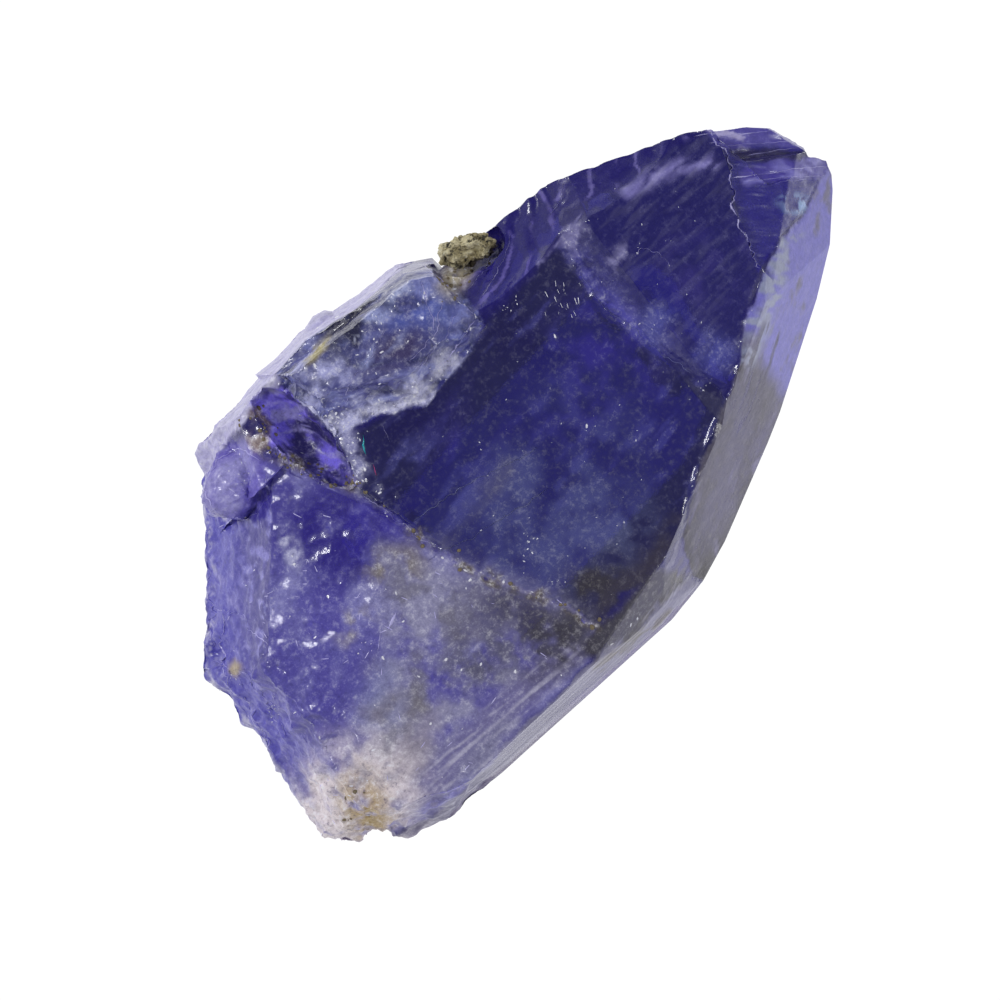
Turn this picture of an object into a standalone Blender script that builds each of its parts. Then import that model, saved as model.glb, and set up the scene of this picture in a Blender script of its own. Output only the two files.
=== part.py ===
"""Rough tanzanite: a broken blue-violet crystal lying on its side, with a smaller crystal
grown on its back edge and a crumb of host rock caught in the notch beside it.

The crystal is cleaved out of a block, one named facet at a time, and is then notched, scooped
and broken. X runs along the crystal's length to its tip, Y across it, and Z up.
"""

import math

import bmesh
import bpy
from mathutils import Matrix, Vector, noise

MM = 0.001

# Driving dimensions in millimetres. The points below are in the stone's own sketch frame: zero
# near its middle, Z measured from the surface it lies on. The parts are centred at the end.
REACH = 20.0
HEIGHT = 12.0

# The outline seen from above: each side is a pair of facets that meet at the girdle, given as
# (compass direction that it faces, slope above, slope below, a point on the girdle). Directions
# are in degrees from +X towards +Y. A slope of 0 is a level top, 90 a wall, 180 an underside.
OUTLINE = {
    "front_prism": (-90, 77, 116, (-4.0, -6.86, 4.6)),
    "front_bow": (-81, 74, 122, (2.0, -6.70, 4.6)),
    "lower_termination": (-65.5, 66, 124, (5.5, -5.50, 4.2)),
    "upper_termination": (-60, 66, 122, (10.0, -3.22, 4.3)),
    "point": (-45, 58, 128, (14.0, -0.52, 4.7)),
    "tip": (15, 76, 126, (15.38, 1.0, 5.2)),
    "tip_back": (46, 86, 126, (14.0, 3.75, 6.0)),
    "far_back": (57, 87, 124, (13.0, 4.45, 5.6)),
    "back": (68, 87, 122, (10.0, 5.95, 4.9)),
    "notch_back": (86, 87, 124, (6.0, 7.05, 4.9)),
    "upper_break": (139.6, 58, 124, (-9.82, 4.87, 4.4)),
    "left_break": (172.6, 62, 120, (-12.38, -0.85, 4.2)),
    "foot_break": (222, 66, 118, (-12.60, -4.95, 3.6)),
    "corner_break": (242, 68, 120, (-10.7, -6.25, 4.2)),
}
# The faces that the outline's facets lean on: (direction, slope, a point on it).
TOPS = {
    "shoulder": (-40, 13.5, (7.2, 1.0, 9.45)),
    "tip_front": (-25, 46, (14.1, 0.9, 7.15)),
    "front_bevel": (-76, 58, (1.6, -5.15, 8.35)),
    "milky_face": (-124, 12.6, (-3.2, 0.5, 9.45)),
}
UNDERSIDES = {
    "rest": (0, 180, (0.0, 0.0, 0.0)),
    "keel_front": (-86, 143, (0.0, -3.1, 0.0)),
    "keel_back": (95, 150, (0.0, 3.2, 0.0)),
    "keel_point": (-14, 146, (7.6, 0.0, 0.0)),
    "keel_left": (197, 150, (-7.2, 0.0, 0.0)),
}
MAIN_FACE = (-67, 7.6, (0.0, 4.7, 9.75))
LEDGE = (189, 34, (6.6, 0.5, 8.95))
BROKEN_FACE = (160, 13.2, (-3.6, 2.5, 9.45))
BROKEN_WALL = (199, 52, (-3.45, 1.4, 9.30))

# The long prism face along the back edge, from the broken end to the notch.
FLANK_ENDS = {
    "flank_top": (110, 9, (-5.5, 7.3, 8.9)),
    "flank_end": (6, 84, (2.4, 7.5, 7.0)),
    "flank_end_under": (6, 130, (2.5, 7.5, 5.6)),
    "flank_break": (152, 62, (-7.35, 7.8, 5.2)),
    "flank_break_under": (152, 124, (-7.35, 7.8, 5.2)),
}
FLANK_OUTLINE = {
    "flank_left": (96.5, 80, 124, (-4.5, 8.55, 5.4)),
    "flank_right": (80.5, 80, 126, (0.5, 8.46, 5.4)),
}
SIDE_CRYSTAL = {
    "side_top": (60, 6, (0.0, 6.5, 10.75)),
    "side_front": (-82, 58, (1.2, 4.35, 9.6)),
    "side_left_front": (-118, 50, (-1.4, 4.6, 9.6)),
    "side_left": (184, 79, (-3.12, 6.6, 9.3)),
    "side_right": (3, 83, (2.82, 6.0, 9.4)),
    "side_corner": (-20, 30, (1.75, 6.0, 10.6)),
    "side_back": (86, 77, (0.0, 8.0, 8.0)),
    "side_back_corner": (58, 78, (2.45, 7.6, 8.0)),
}

# Terraces near the tip. Each is cut down to a floor, beyond a wall, from the jagged crack on:
# (floor, wall), each as (direction, slope, a point on it).
TERRACES = {
    "high_terrace": ((-28, 26, (14.25, 1.3, 7.0)), (56, 70, (14.25, 1.3, 7.2))),
    "low_terrace": ((-20, 24, (13.9, 2.42, 6.9)), (51, 76, (13.9, 2.42, 7.2))),
}
TERRACE_START = (196, 60, (12.45, 3.6, 7.9))
NOTCH_BY_TIP = [(-11, 90, (14.82, 1.9, 6.0)), (48, 90, (14.75, 1.75, 6.0))]

# The face near the tip is cut down behind a jagged step, whose line is given seen from above.
TIP_FACE = (-30, 27, (11.2, 1.7, 8.60))
JAGGED_STEP = [
    (12.5, 5.6),
    (12.5, 3.9),
    (12.15, 3.0),
    (11.55, 2.3),
    (11.25, 1.3),
    (10.85, 0.5),
    (10.9, -1.6),
]

# Conchoidal scoops, each an ellipsoid: (centre, radii, turn about Z, tilt about X).
SCOOPS = {
    "deep_hollow": ((-4.05, 6.05, 9.9), (0.85, 2.35, 2.5), 4, 0),
    "near_shell": ((5.0, 9.1, 14.5), (8.0, 6.5, 6.5), 0, 0),
    "far_shell": ((10.6, 8.7, 16.4), (8.4, 8.0, 8.0), -20, 0),
    "rim_bite": ((-13.25, -0.8, 5.0), (1.15, 2.5, 3.4), -7, 0),
    "rim_bite_upper": ((-11.75, 4.55, 6.6), (1.25, 1.2, 1.7), 40, 0),
    "rim_bite_top": ((-8.35, 7.25, 5.6), (0.65, 0.62, 3.0), 0, 0),
    "foot_bite": ((-11.75, -6.35, 5.2), (1.05, 1.05, 3.0), 0, 0),
    "under_chip": ((-10.6, -2.2, -3.2), (3.6, 4.4, 4.6), 20, 0),
    "under_chip_far": ((11.3, 2.2, -3.4), (5.2, 3.0, 5.0), -32, 0),
}
SCOOP_DETAIL = 3
SHELL_DETAIL = 4
# Lumps that stand up on the broken end and on the back edge.
LUMPS = {
    "rounded_lobe": ((-6.75, 6.40, 7.45), (1.45, 1.10, 1.05), 20, 0),
    "back_grain": ((-1.15, 8.25, 6.1), (0.75, 0.66, 0.9), 0, 0),
}
# The crumb of host rock, and the clear gap that its notch keeps around it.
CRUMB = ((4.05, 6.95, 8.1), (1.15, 0.64, 1.15), -27, 0)
CRUMB_GAP = 0.3
CRUMB_GRAIN = 0.7
CRUMB_BUMP = 0.4

# The broken end: where it lies, the spacing of the planes that divide it into small facets, and
# the size and depth of its chips. A chip's middle lies below the face and its rim above it.
BROKEN_FROM = -3.7
BROKEN_TO = -12.7
BROKEN_FRONT = -6.6
BROKEN_BACK = 8.2
BROKEN_FOOT = 0.7
BROKEN_TOP = 8.0
BROKEN_EDGE = 0.72
CUT_TOLERANCE = 0.02
WELD = 0.06
CHIP_SIZE = 1.5
CHIP_DEPTH = 0.42
CHIP_RIM = 0.18
GRAIN_SIZE = 0.77
GRAIN_DEPTH = 0.12
# How rough each part of the broken end is, from 0 on a crystal face to 1.
MILKY_ROUGHNESS = 0.35


def facet_plane(facet):
    """A facet's point and outward normal, in metres."""
    faces, slope, at = facet
    compass = math.radians(faces)
    tilt = math.radians(slope)
    level = Vector((math.cos(compass), math.sin(compass), 0.0)) * math.sin(tilt)
    return Vector(at) * MM, level + Vector((0.0, 0.0, math.cos(tilt)))


def flipped(facet):
    """The same plane, facing the other way."""
    faces, slope, at = facet
    return faces + 180, 180 - slope, at


def girdle_pair(side):
    """The two facets, above and below, of one side of an outline."""
    faces, above, below, at = side
    return [(faces, above, at), (faces, below, at)]


def block(name, low=(-REACH, -REACH, 0.0), high=(REACH, REACH, HEIGHT)):
    """A cuboid between two corners, in millimetres of the sketch frame."""
    size = (Vector(high) - Vector(low)) * MM
    middle = (Vector(high) + Vector(low)) / 2 * MM
    bpy.ops.mesh.primitive_cube_add(size=1.0)
    obj = bpy.context.object
    obj.name = name
    obj.data.transform(Matrix.Translation(middle) @ Matrix.Diagonal((*size, 1.0)))
    return obj


def cleave(obj, facets):
    """Cuts away what lies outside each facet, and closes the cut."""
    mesh = bmesh.new()
    mesh.from_mesh(obj.data)
    for facet in facets:
        point, normal = facet_plane(facet)
        everything = mesh.verts[:] + mesh.edges[:] + mesh.faces[:]
        cut = {"geom": everything, "plane_co": point, "plane_no": normal, "clear_outer": True}
        bmesh.ops.bisect_plane(mesh, **cut)
        rim = [edge for edge in mesh.edges if edge.is_boundary]
        if rim:
            bmesh.ops.contextual_create(mesh, geom=rim)
    bmesh.ops.recalc_face_normals(mesh, faces=mesh.faces)
    mesh.to_mesh(obj.data)
    mesh.free()
    return obj


def combine(obj, tool, operation):
    """Joins obj with tool or cuts it, and removes the tool."""
    modifier = obj.modifiers.new(operation.lower(), "BOOLEAN")
    modifier.operation = operation
    modifier.solver = "EXACT"
    modifier.object = tool
    graph = bpy.context.evaluated_depsgraph_get()
    made = bpy.data.meshes.new_from_object(obj.evaluated_get(graph))
    obj.modifiers.clear()
    obj.data = made
    bpy.data.objects.remove(tool)
    return obj


def pebble(name, centre, radii, turn, tilt, detail=SCOOP_DETAIL):
    """A faceted ellipsoid, for the scoops of a conchoidal fracture and for rounded lumps."""
    bpy.ops.mesh.primitive_ico_sphere_add(subdivisions=detail, radius=1.0)
    obj = bpy.context.object
    obj.name = name
    place = (
        Matrix.Translation(Vector(centre) * MM)
        @ Matrix.Rotation(math.radians(turn), 4, "Z")
        @ Matrix.Rotation(math.radians(tilt), 4, "X")
        @ Matrix.Diagonal((*(Vector(radii) * MM), 1.0))
    )
    obj.data.transform(place)
    return obj


def outline_prism(name, outline, low, high):
    """A flat outline in the plan, raised between two heights."""
    mesh = bmesh.new()
    for x, y in outline:
        mesh.verts.new(Vector((x, y, low)) * MM)
    bmesh.ops.contextual_create(mesh, geom=mesh.verts[:])
    raised = bmesh.ops.extrude_face_region(mesh, geom=mesh.faces[:])["geom"]
    corners = [item for item in raised if isinstance(item, bmesh.types.BMVert)]
    bmesh.ops.translate(mesh, verts=corners, vec=(0, 0, (high - low) * MM))
    bmesh.ops.recalc_face_normals(mesh, faces=mesh.faces)
    data = bpy.data.meshes.new(name)
    mesh.to_mesh(data)
    mesh.free()
    obj = bpy.data.objects.new(name, data)
    bpy.context.scene.collection.objects.link(obj)
    return obj


def trunk():
    """The main crystal, with its recessed main face and the drop to its broken side."""
    facets = list(TOPS.values()) + list(UNDERSIDES.values())
    for side in OUTLINE.values():
        facets += girdle_pair(side)
    obj = cleave(block("crystal"), facets)
    # The main face lies lower than the shoulder, behind the ledge.
    recess = cleave(block("recess", low=(-REACH, -REACH, 5)), [flipped(MAIN_FACE), flipped(LEDGE)])
    combine(obj, recess, "DIFFERENCE")
    # The broken end drops below the main face at a small cliff.
    drop = cleave(block("drop", low=(-REACH, -REACH, 5)), [flipped(BROKEN_FACE), flipped(BROKEN_WALL)])
    return combine(obj, drop, "DIFFERENCE")


def break_the_tip(crystal):
    """The jagged step, and the terraces that climb down to the back edge beyond it."""
    outline = JAGGED_STEP + [(REACH, -1.6), (REACH, 5.6)]
    step = cleave(outline_prism("jagged_step", outline, 5.0, HEIGHT), [flipped(TIP_FACE)])
    combine(crystal, step, "DIFFERENCE")
    for name, (floor, wall) in TERRACES.items():
        terrace = cleave(block(name, low=(5, -REACH, 4)), [flipped(floor), flipped(wall), TERRACE_START])
        combine(crystal, terrace, "DIFFERENCE")
    notch = cleave(block("notch_by_tip", low=(5, -REACH, -1)), [flipped(side) for side in NOTCH_BY_TIP])
    combine(crystal, notch, "DIFFERENCE")


def flank():
    """The long prism along the back edge."""
    facets = list(FLANK_ENDS.values())
    for side in FLANK_OUTLINE.values():
        facets += girdle_pair(side)
    return cleave(block("flank", low=(-REACH, 5.6, 1.5)), facets)


def side_crystal():
    """The smaller crystal grown on the back edge."""
    return cleave(block("side_crystal", low=(-REACH, -REACH, 6.0)), SIDE_CRYSTAL.values())


def smooth_rise(value, low, high):
    """0 below low, 1 above high, with a smooth rise between them."""
    share = min(max((value - low) / (high - low), 0.0), 1.0)
    return share * share * (3 - 2 * share)


def brokenness(point):
    """How rough the surface is at a point of the sketch frame: 0 on crystal faces, 1 on the rim."""
    rim = smooth_rise(-point.x, 7.5, 10.5)
    upper_rim = smooth_rise(-point.x, 4.5, 6.5) * smooth_rise(point.y, 3.5, 5.5)
    milky = MILKY_ROUGHNESS * smooth_rise(-point.x, 3.6, 6.0)
    prism_faces = smooth_rise(-point.y, 5.3, 6.3) * (1 - smooth_rise(-point.x, 9.0, 10.5))
    return max(rim, upper_rim, milky) * (1 - prism_faces) * smooth_rise(point.z, 0.2, 1.2)


def slice_up(mesh, axis, first, last):
    """Cuts the faces of the broken end by evenly spaced planes across one axis."""
    normal = Vector((0, 0, 0))
    normal[axis] = 1.0
    count = math.ceil((last - first) / BROKEN_EDGE)
    for step in range(count + 1):
        faces = [face for face in mesh.faces if face.calc_center_median().x < BROKEN_FROM * MM]
        edges = {edge for face in faces for edge in face.edges}
        verts = {vert for face in faces for vert in face.verts}
        place = normal * (first + (last - first) * step / count) * MM
        geom = faces + list(edges) + list(verts)
        bmesh.ops.bisect_plane(mesh, geom=geom, plane_co=place, plane_no=normal, dist=CUT_TOLERANCE * MM)


def shatter(crystal):
    """Cuts the broken end's faces into small facets, and chips them."""
    mesh = bmesh.new()
    mesh.from_mesh(crystal.data)
    everything = mesh.verts[:] + mesh.edges[:] + mesh.faces[:]
    bmesh.ops.bisect_plane(mesh, geom=everything, plane_co=(BROKEN_FROM * MM, 0, 0), plane_no=(1, 0, 0))
    slice_up(mesh, 0, BROKEN_TO, BROKEN_FROM - BROKEN_EDGE)
    slice_up(mesh, 1, BROKEN_FRONT, BROKEN_BACK)
    slice_up(mesh, 2, BROKEN_FOOT, BROKEN_TOP)
    bmesh.ops.triangulate(mesh, faces=mesh.faces[:])
    bmesh.ops.remove_doubles(mesh, verts=mesh.verts[:], dist=WELD * MM)
    mesh.normal_update()
    for vert in mesh.verts:
        place = vert.co / MM
        near = noise.voronoi(place / CHIP_SIZE)[0][0]
        chip = CHIP_DEPTH * (near * near - CHIP_RIM)
        chip += GRAIN_DEPTH * noise.noise(place / GRAIN_SIZE)
        vert.co += vert.normal * chip * brokenness(place) * MM
    mesh.to_mesh(crystal.data)
    mesh.free()


def crystal():
    """The whole stone but for the crumb, in one solid."""
    obj = trunk()
    break_the_tip(obj)
    combine(obj, flank(), "UNION")
    for name, scoop in SCOOPS.items():
        detail = SHELL_DETAIL if name.endswith("shell") else SCOOP_DETAIL
        combine(obj, pebble(name, *scoop, detail=detail), "DIFFERENCE")
    combine(obj, side_crystal(), "UNION")
    for name, lump in LUMPS.items():
        combine(obj, pebble(name, *lump, detail=2), "UNION")
    centre, radii, turn, tilt = CRUMB
    room = [radius + CRUMB_GAP for radius in radii]
    combine(obj, pebble("crumb_notch", centre, room, turn, tilt), "DIFFERENCE")
    shatter(obj)
    return obj


def crumb():
    """The crumb of host rock: a pebble with grains pressed in, never out of its notch."""
    obj = pebble("host_rock_crumb", *CRUMB, detail=4)
    centre = Vector(CRUMB[0]) * MM
    for vert in obj.data.vertices:
        bump = CRUMB_BUMP * abs(noise.noise(vert.co / (CRUMB_GRAIN * MM)))
        vert.co += (centre - vert.co).normalized() * bump * MM
    return obj


def settle(parts):
    """Moves the parts so that the origin is under the middle of the whole, where it rests."""
    corners = [vert.co for obj in parts for vert in obj.data.vertices]
    low = Vector([min(corner[axis] for corner in corners) for axis in range(3)])
    high = Vector([max(corner[axis] for corner in corners) for axis in range(3)])
    for obj in parts:
        obj.data.transform(Matrix.Translation((-(low.x + high.x) / 2, -(low.y + high.y) / 2, -low.z)))


def dress(obj, color, roughness, transmission, ior):
    """Gives a part its material."""
    material = bpy.data.materials.new(obj.name)
    material.use_nodes = True
    shader = material.node_tree.nodes["Principled BSDF"]
    shader.inputs["Base Color"].default_value = (*color, 1.0)
    shader.inputs["Roughness"].default_value = roughness
    shader.inputs["Transmission Weight"].default_value = transmission
    shader.inputs["IOR"].default_value = ior
    obj.data.materials.clear()
    obj.data.materials.append(material)


def main():
    """Makes the two parts, and links them in a collection of their own."""
    for obj in list(bpy.data.objects):
        bpy.data.objects.remove(obj)
    collection = bpy.data.collections.new("rough_tanzanite")
    bpy.context.scene.collection.children.link(collection)
    stone = crystal()
    rock = crumb()
    settle([stone, rock])
    dress(stone, color=(0.10, 0.08, 0.42), roughness=0.08, transmission=0.8, ior=1.69)
    dress(rock, color=(0.24, 0.19, 0.10), roughness=0.85, transmission=0.0, ior=1.5)
    for obj in (stone, rock):
        for other in obj.users_collection:
            other.objects.unlink(obj)
        collection.objects.link(obj)


main()
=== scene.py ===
import math

import bmesh
import bpy
import numpy as np
from mathutils import Matrix, Vector, noise
from mathutils.bvhtree import BVHTree


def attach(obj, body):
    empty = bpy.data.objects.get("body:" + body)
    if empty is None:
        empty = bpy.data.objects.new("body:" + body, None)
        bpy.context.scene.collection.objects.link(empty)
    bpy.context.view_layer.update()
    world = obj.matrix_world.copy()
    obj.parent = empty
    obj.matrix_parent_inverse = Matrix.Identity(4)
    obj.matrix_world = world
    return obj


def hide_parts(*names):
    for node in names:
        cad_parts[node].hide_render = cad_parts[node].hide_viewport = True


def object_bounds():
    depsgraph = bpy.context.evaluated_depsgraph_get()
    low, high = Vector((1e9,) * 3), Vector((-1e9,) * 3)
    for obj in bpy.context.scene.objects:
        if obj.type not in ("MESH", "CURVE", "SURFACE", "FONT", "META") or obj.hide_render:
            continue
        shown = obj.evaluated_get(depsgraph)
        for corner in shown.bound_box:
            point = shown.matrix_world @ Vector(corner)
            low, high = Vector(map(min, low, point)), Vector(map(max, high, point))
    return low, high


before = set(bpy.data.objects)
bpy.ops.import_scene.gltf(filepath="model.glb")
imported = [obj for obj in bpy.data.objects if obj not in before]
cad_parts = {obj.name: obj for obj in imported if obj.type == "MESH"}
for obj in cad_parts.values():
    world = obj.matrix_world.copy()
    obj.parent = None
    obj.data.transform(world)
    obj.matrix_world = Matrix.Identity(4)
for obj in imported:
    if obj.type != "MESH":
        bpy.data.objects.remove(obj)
cad_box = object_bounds()

MM = 0.001


# The table and the studio.
# A pale sheet that is lit evenly from below, in a white tent. The tent's opening overhead is
# dim, and lamps behind and in front of the stone make the glints.
GLOW = 1.04
SHEET_WIDTH = 0.9


def pale_sheet():
    bpy.ops.mesh.primitive_plane_add(size=SHEET_WIDTH)
    sheet = bpy.context.object
    sheet.name = "pale_sheet"
    material = bpy.data.materials.new("pale_sheet")
    material.use_nodes = True
    nodes = material.node_tree.nodes
    nodes.remove(nodes["Principled BSDF"])
    glow = nodes.new("ShaderNodeEmission")
    glow.inputs["Strength"].default_value = GLOW
    material.node_tree.links.new(glow.outputs["Emission"], nodes["Material Output"].inputs["Surface"])
    sheet.data.materials.append(material)


def soft_tent(wall, opening, opening_edge, wall_edge):
    """Light from all round: dim within opening_edge degrees of straight up, bright past wall_edge."""
    room = bpy.data.worlds.new("soft_tent")
    room.use_nodes = True
    nodes, links = room.node_tree.nodes, room.node_tree.links
    towards = nodes.new("ShaderNodeTexCoord")
    split = nodes.new("ShaderNodeSeparateXYZ")
    grade = nodes.new("ShaderNodeMapRange")
    grade.interpolation_type = "SMOOTHSTEP"
    grade.inputs["From Min"].default_value = math.cos(math.radians(wall_edge))
    grade.inputs["From Max"].default_value = math.cos(math.radians(opening_edge))
    grade.inputs["To Min"].default_value = wall
    grade.inputs["To Max"].default_value = opening
    links.new(towards.outputs["Generated"], split.inputs["Vector"])
    links.new(split.outputs["Z"], grade.inputs["Value"])
    background = nodes["Background"]
    background.inputs["Color"].default_value = (0.97, 0.98, 1.0, 1.0)
    links.new(grade.outputs["Result"], background.inputs["Strength"])
    bpy.context.scene.world = room


def small_lamp(name, compass, height, distance, size, power):
    """A round lamp that faces the stone from a compass direction and a height, in degrees."""
    data = bpy.data.lights.new(name, "AREA")
    data.shape = "DISK"
    data.size = size
    data.energy = power
    light = bpy.data.objects.new(name, data)
    around = math.radians(compass)
    up = math.radians(height)
    towards = Vector((math.cos(up) * math.cos(around), math.cos(up) * math.sin(around), math.sin(up)))
    light.location = towards * distance
    light.rotation_euler = (-towards).to_track_quat("-Z", "Y").to_euler()
    bpy.context.scene.collection.objects.link(light)


pale_sheet()
soft_tent(wall=0.62, opening=0.12, opening_edge=30, wall_edge=80)
small_lamp("back_lamp", compass=118, height=52, distance=0.35, size=0.09, power=0.55)
small_lamp("front_lamp", compass=-60, height=46, distance=0.35, size=0.07, power=0.30)
bpy.context.scene.view_settings.view_transform = "Standard"

# The camera looks straight down on the stone with a long lens, turned so that the crystal's
# length runs up to the right at 42 degrees. The frame is 34 mm wide at the stone.
CRYSTAL_RISE = 42.0
LENS = 110.0
FRAME_WIDTH = 34.0 * MM
LOOK_AT = Vector((-1.8215, -0.936, 4.8)) * MM
camera_data = bpy.data.cameras.new("camera")
camera_data.lens = LENS
camera_data.clip_start = 0.001
camera = bpy.data.objects.new("camera", camera_data)
camera.location = LOOK_AT + Vector((0, 0, FRAME_WIDTH * LENS / camera_data.sensor_width))
camera.rotation_euler = (0, 0, math.radians(-CRYSTAL_RISE))
bpy.context.scene.collection.objects.link(camera)
bpy.context.scene.camera = camera


# The crystal's form.
# One blue-violet crystal: clean prism faces and terminations towards the tip, a broken and
# scalloped end, and a smaller crystal grown on its back edge. The cleaved solid is refined, and
# the fine chips, growth lines and conchoidal ripples are pressed into it.
# Its longest edges are TOP_EDGE on top, and UNDER_EDGE below the height UNDER_BELOW.
TOP_EDGE = 0.115 * MM
UNDER_EDGE = 0.45 * MM
UNDER_BELOW = 3.4 * MM
REFINE_ROUNDS = 8
SKETCH_ZERO = np.array((1.2145, 1.025, 0.0))


def refined_copy(node, name, top_edge, under_edge, under_below=0.0):
    """A copy of a CAD node, its doubles merged and its long edges halved until they are short."""
    mesh = bmesh.new()
    mesh.from_mesh(node.data)
    bmesh.ops.remove_doubles(mesh, verts=mesh.verts[:], dist=1e-7)
    for _ in range(REFINE_ROUNDS):
        long_edges = []
        for edge in mesh.edges:
            start, end = edge.verts[0].co, edge.verts[1].co
            limit = under_edge if (start.z + end.z) / 2 < under_below else top_edge
            if (end - start).length > limit:
                long_edges.append(edge)
        bmesh.ops.subdivide_edges(mesh, edges=long_edges, cuts=1)
        uneven = [face for face in mesh.faces if len(face.verts) > 3]
        bmesh.ops.triangulate(mesh, faces=uneven, quad_method="SHORT_EDGE", ngon_method="BEAUTY")
    data = bpy.data.meshes.new(name)
    mesh.to_mesh(data)
    mesh.free()
    obj = bpy.data.objects.new(name, data)
    bpy.context.scene.collection.objects.link(obj)
    return obj


def rise(value, low, high):
    """0 below low, 1 above high, and a smooth rise between them."""
    share = np.clip((value - low) / (high - low), 0.0, 1.0)
    return share * share * (3 - 2 * share)


class Places:
    """Points of the stone in millimetres of the sketch frame, and the ways to pick out a part.

    Seen from above, u runs along the crystal to its tip and v across it to the back edge."""

    def __init__(self, points, wobble=0.0):
        self.u, self.v, self.z = (points / MM + SKETCH_ZERO).T
        if wobble:
            across, along = self.noise(0.7, 4, seed=31.0), self.noise(0.7, 4, seed=57.0)
            self.u = self.u + wobble * across
            self.v = self.v + wobble * along
        self.plan = np.stack([self.u, self.v], axis=1)

    def noise(self, size, octaves=3, seed=0.0, stretch=(1.0, 1.0, 1.0), turn=0.0):
        """Smooth noise from -1 to 1, with lumps of about the given size in millimetres."""
        around = math.radians(turn)
        along = self.u * math.cos(around) + self.v * math.sin(around)
        across = self.v * math.cos(around) - self.u * math.sin(around)
        scaled = np.stack([along, across, self.z], axis=1) / (np.array(stretch) * size) + seed
        return np.array([noise.fractal(point, 1.0, 2.0, octaves) for point in scaled])

    def chips(self, size, seed=0.0):
        """Hollows with sharp ridges between them: 0 in a hollow's middle, about 1 on a ridge."""
        scaled = np.stack([self.u, self.v, self.z], axis=1) / size + seed
        return np.array([noise.voronoi(point)[0][0] for point in scaled]) ** 2

    def near(self, line, width, fade):
        """1 within width of a line of points in the plan, fading out past it."""
        return 1 - rise(self.distance(line), width, width + fade)

    def distance(self, line):
        line = np.array(line, float)
        nearest = np.full(len(self.plan), 1e9)
        for start, end in zip(line[:-1], line[1:]):
            along = end - start
            share = np.clip(((self.plan - start) @ along) / (along @ along), 0, 1)
            reach = np.hypot(*(self.plan - start - share[:, None] * along).T)
            nearest = np.minimum(nearest, reach)
        return nearest

    def inside(self, outline, fade=0.3):
        """1 inside a closed outline in the plan, fading out across its edge."""
        corners = np.array(outline, float)
        within = np.zeros(len(self.plan), bool)
        for (u1, v1), (u2, v2) in zip(corners, np.roll(corners, -1, axis=0)):
            crosses = (v1 > self.v) != (v2 > self.v)
            slope = (u2 - u1) / (v2 - v1) if v2 != v1 else 0.0
            within ^= crosses & (self.u < u1 + (self.v - v1) * slope)
        edge = self.distance(np.vstack([corners, corners[:1]]))
        return rise(np.where(within, edge, -edge), -fade, fade)

    def spot(self, centre, radii, turn=0.0, fade=0.5):
        """1 in an ellipse in the plan, fading out over a share of its radius."""
        around = math.radians(turn)
        u, v = self.u - centre[0], self.v - centre[1]
        along = (u * math.cos(around) + v * math.sin(around)) / radii[0]
        across = (v * math.cos(around) - u * math.sin(around)) / radii[1]
        return 1 - rise(np.hypot(along, across), 1 - fade, 1 + fade)

    def rings(self, centre, spacing, squash=1.0, turn=0.0, drift=0.0):
        """Ripples around a centre in the plan, -1 to 1, as a conchoidal fracture leaves them."""
        around = math.radians(turn)
        u, v = self.u - centre[0], self.v - centre[1]
        along = u * math.cos(around) + v * math.sin(around)
        across = (v * math.cos(around) - u * math.sin(around)) / squash
        reach = np.hypot(along, across) + drift
        return np.sin(2 * math.pi * reach ** 1.15 / spacing)


def mesh_arrays(obj):
    """Vertex places, vertex normals and each triangle's corners."""
    data = obj.data
    places = np.empty(len(data.vertices) * 3)
    data.vertices.foreach_get("co", places)
    places = places.reshape(-1, 3)
    corners = np.empty(len(data.loops), int)
    data.loops.foreach_get("vertex_index", corners)
    corners = corners.reshape(-1, 3)
    first, second, third = (places[corners[:, corner]] for corner in range(3))
    face_normals = np.cross(second - first, third - first)
    vertex_normals = np.zeros_like(places)
    for corner in range(3):
        np.add.at(vertex_normals, corners[:, corner], face_normals)
    vertex_normals /= np.maximum(np.linalg.norm(vertex_normals, axis=1, keepdims=True), 1e-15)
    return places, vertex_normals, corners


# The edges and outlines of the faces, as (u, v) in millimetres of the sketch frame.
RIDGE = [(-4.0, 4.3), (-3.8, 3.2), (-3.55, 1.9), (-3.35, 0.9), (-3.1, 0.2), (-2.9, -0.7), (-2.4, -1.9),
         (-1.6, -3.4), (-1.2, -4.4), (-1.0, -5.0)]
LEDGE = [(6.9, 5.0), (6.3, 4.0), (6.1, 3.0), (6.2, 2.0), (6.5, 0.6), (6.6, 0.0), (6.8, -1.0),
         (7.0, -1.6), (7.2, -2.2)]
MAIN_TOP_EDGE = [(2.7, 4.65), (4.5, 4.8), (6.5, 5.0), (8.0, 5.3)]
JAGGED_CRACK = [(12.55, 4.55), (12.55, 3.9), (12.4, 3.3), (12.2, 3.0), (11.6, 2.2), (11.2, 1.3),
                (10.9, 0.4), (10.7, 0.0)]
FRONT_EDGE = [(15.3, 1.0), (13.5, 0.5), (11.7, 0.1), (11.0, -0.1), (10.0, -0.6), (9.2, -1.0),
              (8.2, -1.8), (7.2, -2.4), (6.0, -3.0), (5.0, -3.5), (4.0, -4.1), (3.3, -4.7),
              (3.0, -4.85)]
PRISM_EDGE = [(3.0, -4.85), (1.5, -5.3), (0.3, -5.6), (-2.0, -5.9), (-5.0, -6.0), (-8.0, -6.15),
              (-10.0, -6.4)]
SIDE_CRYSTAL = [(-3.3, 8.5), (-3.3, 5.2), (-1.8, 4.8), (-1.2, 4.5), (-0.4, 4.0), (2.0, 4.4),
                (2.9, 4.8), (3.0, 8.4)]
SIDE_RIM = [(-3.1, 6.2), (-3.0, 5.3), (-1.8, 4.8), (-0.3, 4.2), (0.9, 4.4)]
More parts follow.
